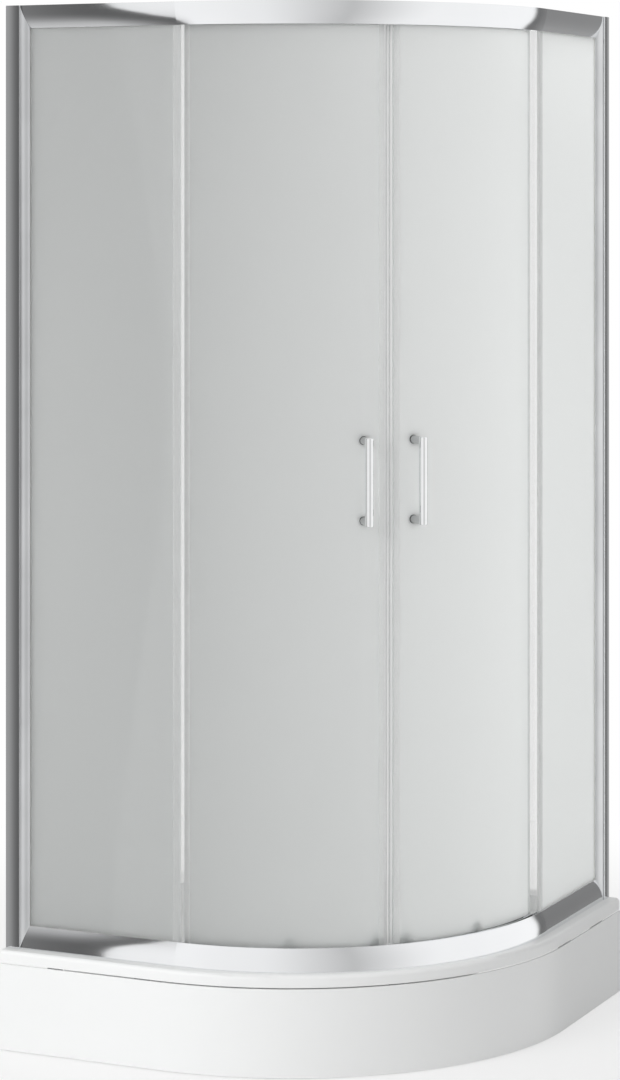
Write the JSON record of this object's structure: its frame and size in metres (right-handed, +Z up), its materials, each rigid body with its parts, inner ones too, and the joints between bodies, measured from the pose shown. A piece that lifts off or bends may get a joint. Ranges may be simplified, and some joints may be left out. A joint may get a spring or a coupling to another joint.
{
  "type": "quadrant shower enclosure",
  "caption": "Quarter-round shower enclosure with bright metal frame, flat fixed frosted panes, curved frosted sliding doors with bar handles, and a raised white tray with skirt.",
  "frame": {"origin": "centre of the bounding box on the floor", "axes": "+Z up; the room walls are the planes X = -0.45 m and Y = +0.45 m; the doors face +X -Y"},
  "size_m": [0.9, 0.9, 1.935],
  "materials": {
    "acrylic": "gloss white",
    "board": "raw particle board",
    "chrome": "bright polished",
    "frosted_glass": "satin",
    "grey_plastic": "satin",
    "nylon": "smooth",
    "rubber": "matt black",
    "seal": "clear, slightly cloudy",
    "steel": "zinc plated"
  },
  "bodies": {
    "enclosure": {"adjuster_screws": "steel", "bottom_rail": "chrome", "drain_body": "grey_plastic", "drain_flange": "steel", "frame_screws": "steel", "left_fixed_glass": "frosted_glass", "left_fixed_seal": "seal", "left_glazing_gasket": "seal", "left_stile": "chrome", "left_wall_profile": "chrome", "rail_stops": "rubber", "right_fixed_glass": "frosted_glass", "right_fixed_seal": "seal", "right_glazing_gasket": "seal", "right_stile": "chrome", "right_wall_profile": "chrome", "skirt_clips": "grey_plastic", "top_rail": "chrome", "tray_basin": "acrylic", "tray_board": "board", "tray_foot_pads": "rubber", "tray_frame": "steel", "tray_legs": "steel", "tray_skirt": "acrylic"},
    "left_door": {"left_door_glass": "frosted_glass", "left_top_carrier": "chrome", "left_bottom_carrier": "chrome", "left_magnetic_seal": "seal", "left_rear_seal": "seal", "left_handle_bar": "chrome", "left_handle_rings": "rubber", "left_handle_nuts": "chrome", "left_trolleys": "steel", "left_guide_housings": "grey_plastic"},
    "left_front_wheels": {"left_front_wheels": "nylon"},
    "left_front_guide_pin": {"left_front_guide_pin": "grey_plastic"},
    "left_front_guide_roller": {"left_front_guide_roller": "nylon"},
    "left_rear_wheels": {"left_rear_wheels": "nylon"},
    "left_rear_guide_pin": {"left_rear_guide_pin": "grey_plastic"},
    "left_rear_guide_roller": {"left_rear_guide_roller": "nylon"},
    "right_door": {"right_door_glass": "frosted_glass", "right_top_carrier": "chrome", "right_bottom_carrier": "chrome", "right_magnetic_seal": "seal", "right_rear_seal": "seal", "right_handle_bar": "chrome", "right_handle_rings": "rubber", "right_handle_nuts": "chrome", "right_trolleys": "steel", "right_guide_housings": "grey_plastic"},
    "right_front_wheels": {"right_front_wheels": "nylon"},
    "right_front_guide_pin": {"right_front_guide_pin": "grey_plastic"},
    "right_front_guide_roller": {"right_front_guide_roller": "nylon"},
    "right_rear_wheels": {"right_rear_wheels": "nylon"},
    "right_rear_guide_pin": {"right_rear_guide_pin": "grey_plastic"},
    "right_rear_guide_roller": {"right_rear_guide_roller": "nylon"},
    "drain_cover": {"drain_cover": "chrome"}
  },
  "joints": [
    {"name": "left_door_slide", "type": "hinge", "parent": "enclosure", "child": "left_door", "pos_m": [-0.1, 0.1, 1.06], "axis": [0, 0, -1], "range_deg": [0, 26.5]},
    {"name": "left_front_wheels_spin", "type": "hinge", "parent": "left_door", "child": "left_front_wheels", "pos_m": [0.22369, -0.26586, 1.9203], "axis": [0.6626, -0.749, 0], "range_deg": [-5, 1445]},
    {"name": "left_front_guide_pin_release", "type": "slide", "parent": "left_door", "child": "left_front_guide_pin", "axis": [0, 0, 1], "range_m": [0, 0.01], "stiffness_N_per_m": 300, "springref_m": -0.02},
    {"name": "left_front_guide_roller_spin", "type": "hinge", "parent": "left_front_guide_pin", "child": "left_front_guide_roller", "pos_m": [0.2174, -0.25875, 0.194], "axis": [0, 0, 1], "range_deg": [-5, 3210]},
    {"name": "left_rear_wheels_spin", "type": "hinge", "parent": "left_door", "child": "left_rear_wheels", "pos_m": [0.08694, -0.35132, 1.9203], "axis": [0.3827, -0.9239, 0], "range_deg": [-5, 1445]},
    {"name": "left_rear_guide_pin_release", "type": "slide", "parent": "left_door", "child": "left_rear_guide_pin", "axis": [0, 0, 1], "range_m": [0, 0.01], "stiffness_N_per_m": 300, "springref_m": -0.02},
    {"name": "left_rear_guide_roller_spin", "type": "hinge", "parent": "left_rear_guide_pin", "child": "left_rear_guide_roller", "pos_m": [0.08331, -0.34254, 0.194], "axis": [0, 0, 1], "range_deg": [-5, 3210]},
    {"name": "right_door_slide", "type": "hinge", "parent": "enclosure", "child": "right_door", "pos_m": [-0.1, 0.1, 1.06], "axis": [0, 0, 1], "range_deg": [0, 26.5]},
    {"name": "right_front_wheels_spin", "type": "hinge", "parent": "right_door", "child": "right_front_wheels", "pos_m": [0.26586, -0.22369, 1.9203], "axis": [-0.749, 0.6626, 0], "range_deg": [-5, 1445]},
    {"name": "right_front_guide_pin_release", "type": "slide", "parent": "right_door", "child": "right_front_guide_pin", "axis": [0, 0, 1], "range_m": [0, 0.01], "stiffness_N_per_m": 300, "springref_m": -0.02},
    {"name": "right_front_guide_roller_spin", "type": "hinge", "parent": "right_front_guide_pin", "child": "right_front_guide_roller", "pos_m": [0.25875, -0.2174, 0.194], "axis": [0, 0, -1], "range_deg": [-5, 3210]},
    {"name": "right_rear_wheels_spin", "type": "hinge", "parent": "right_door", "child": "right_rear_wheels", "pos_m": [0.35132, -0.08694, 1.9203], "axis": [-0.9239, 0.3827, 0], "range_deg": [-5, 1445]},
    {"name": "right_rear_guide_pin_release", "type": "slide", "parent": "right_door", "child": "right_rear_guide_pin", "axis": [0, 0, 1], "range_m": [0, 0.01], "stiffness_N_per_m": 300, "springref_m": -0.02},
    {"name": "right_rear_guide_roller_spin", "type": "hinge", "parent": "right_rear_guide_pin", "child": "right_rear_guide_roller", "pos_m": [0.34254, -0.08331, 0.194], "axis": [0, 0, -1], "range_deg": [-5, 3210]},
    {"name": "drain_cover_lift", "type": "slide", "parent": "enclosure", "child": "drain_cover", "axis": [0, 0, 1], "range_m": [0, 0.03]}
  ],
  "couplings": [
    {"joint": "left_front_wheels_spin", "follows": "left_door_slide", "ratio": 54.278},
    {"joint": "left_front_guide_roller_spin", "follows": "left_door_slide", "ratio": 120.75},
    {"joint": "left_rear_wheels_spin", "follows": "left_door_slide", "ratio": 54.278},
    {"joint": "left_rear_guide_roller_spin", "follows": "left_door_slide", "ratio": 120.75},
    {"joint": "right_front_wheels_spin", "follows": "right_door_slide", "ratio": 54.278},
    {"joint": "right_front_guide_roller_spin", "follows": "right_door_slide", "ratio": 120.75},
    {"joint": "right_rear_wheels_spin", "follows": "right_door_slide", "ratio": 54.278},
    {"joint": "right_rear_guide_roller_spin", "follows": "right_door_slide", "ratio": 120.75}
  ]
}
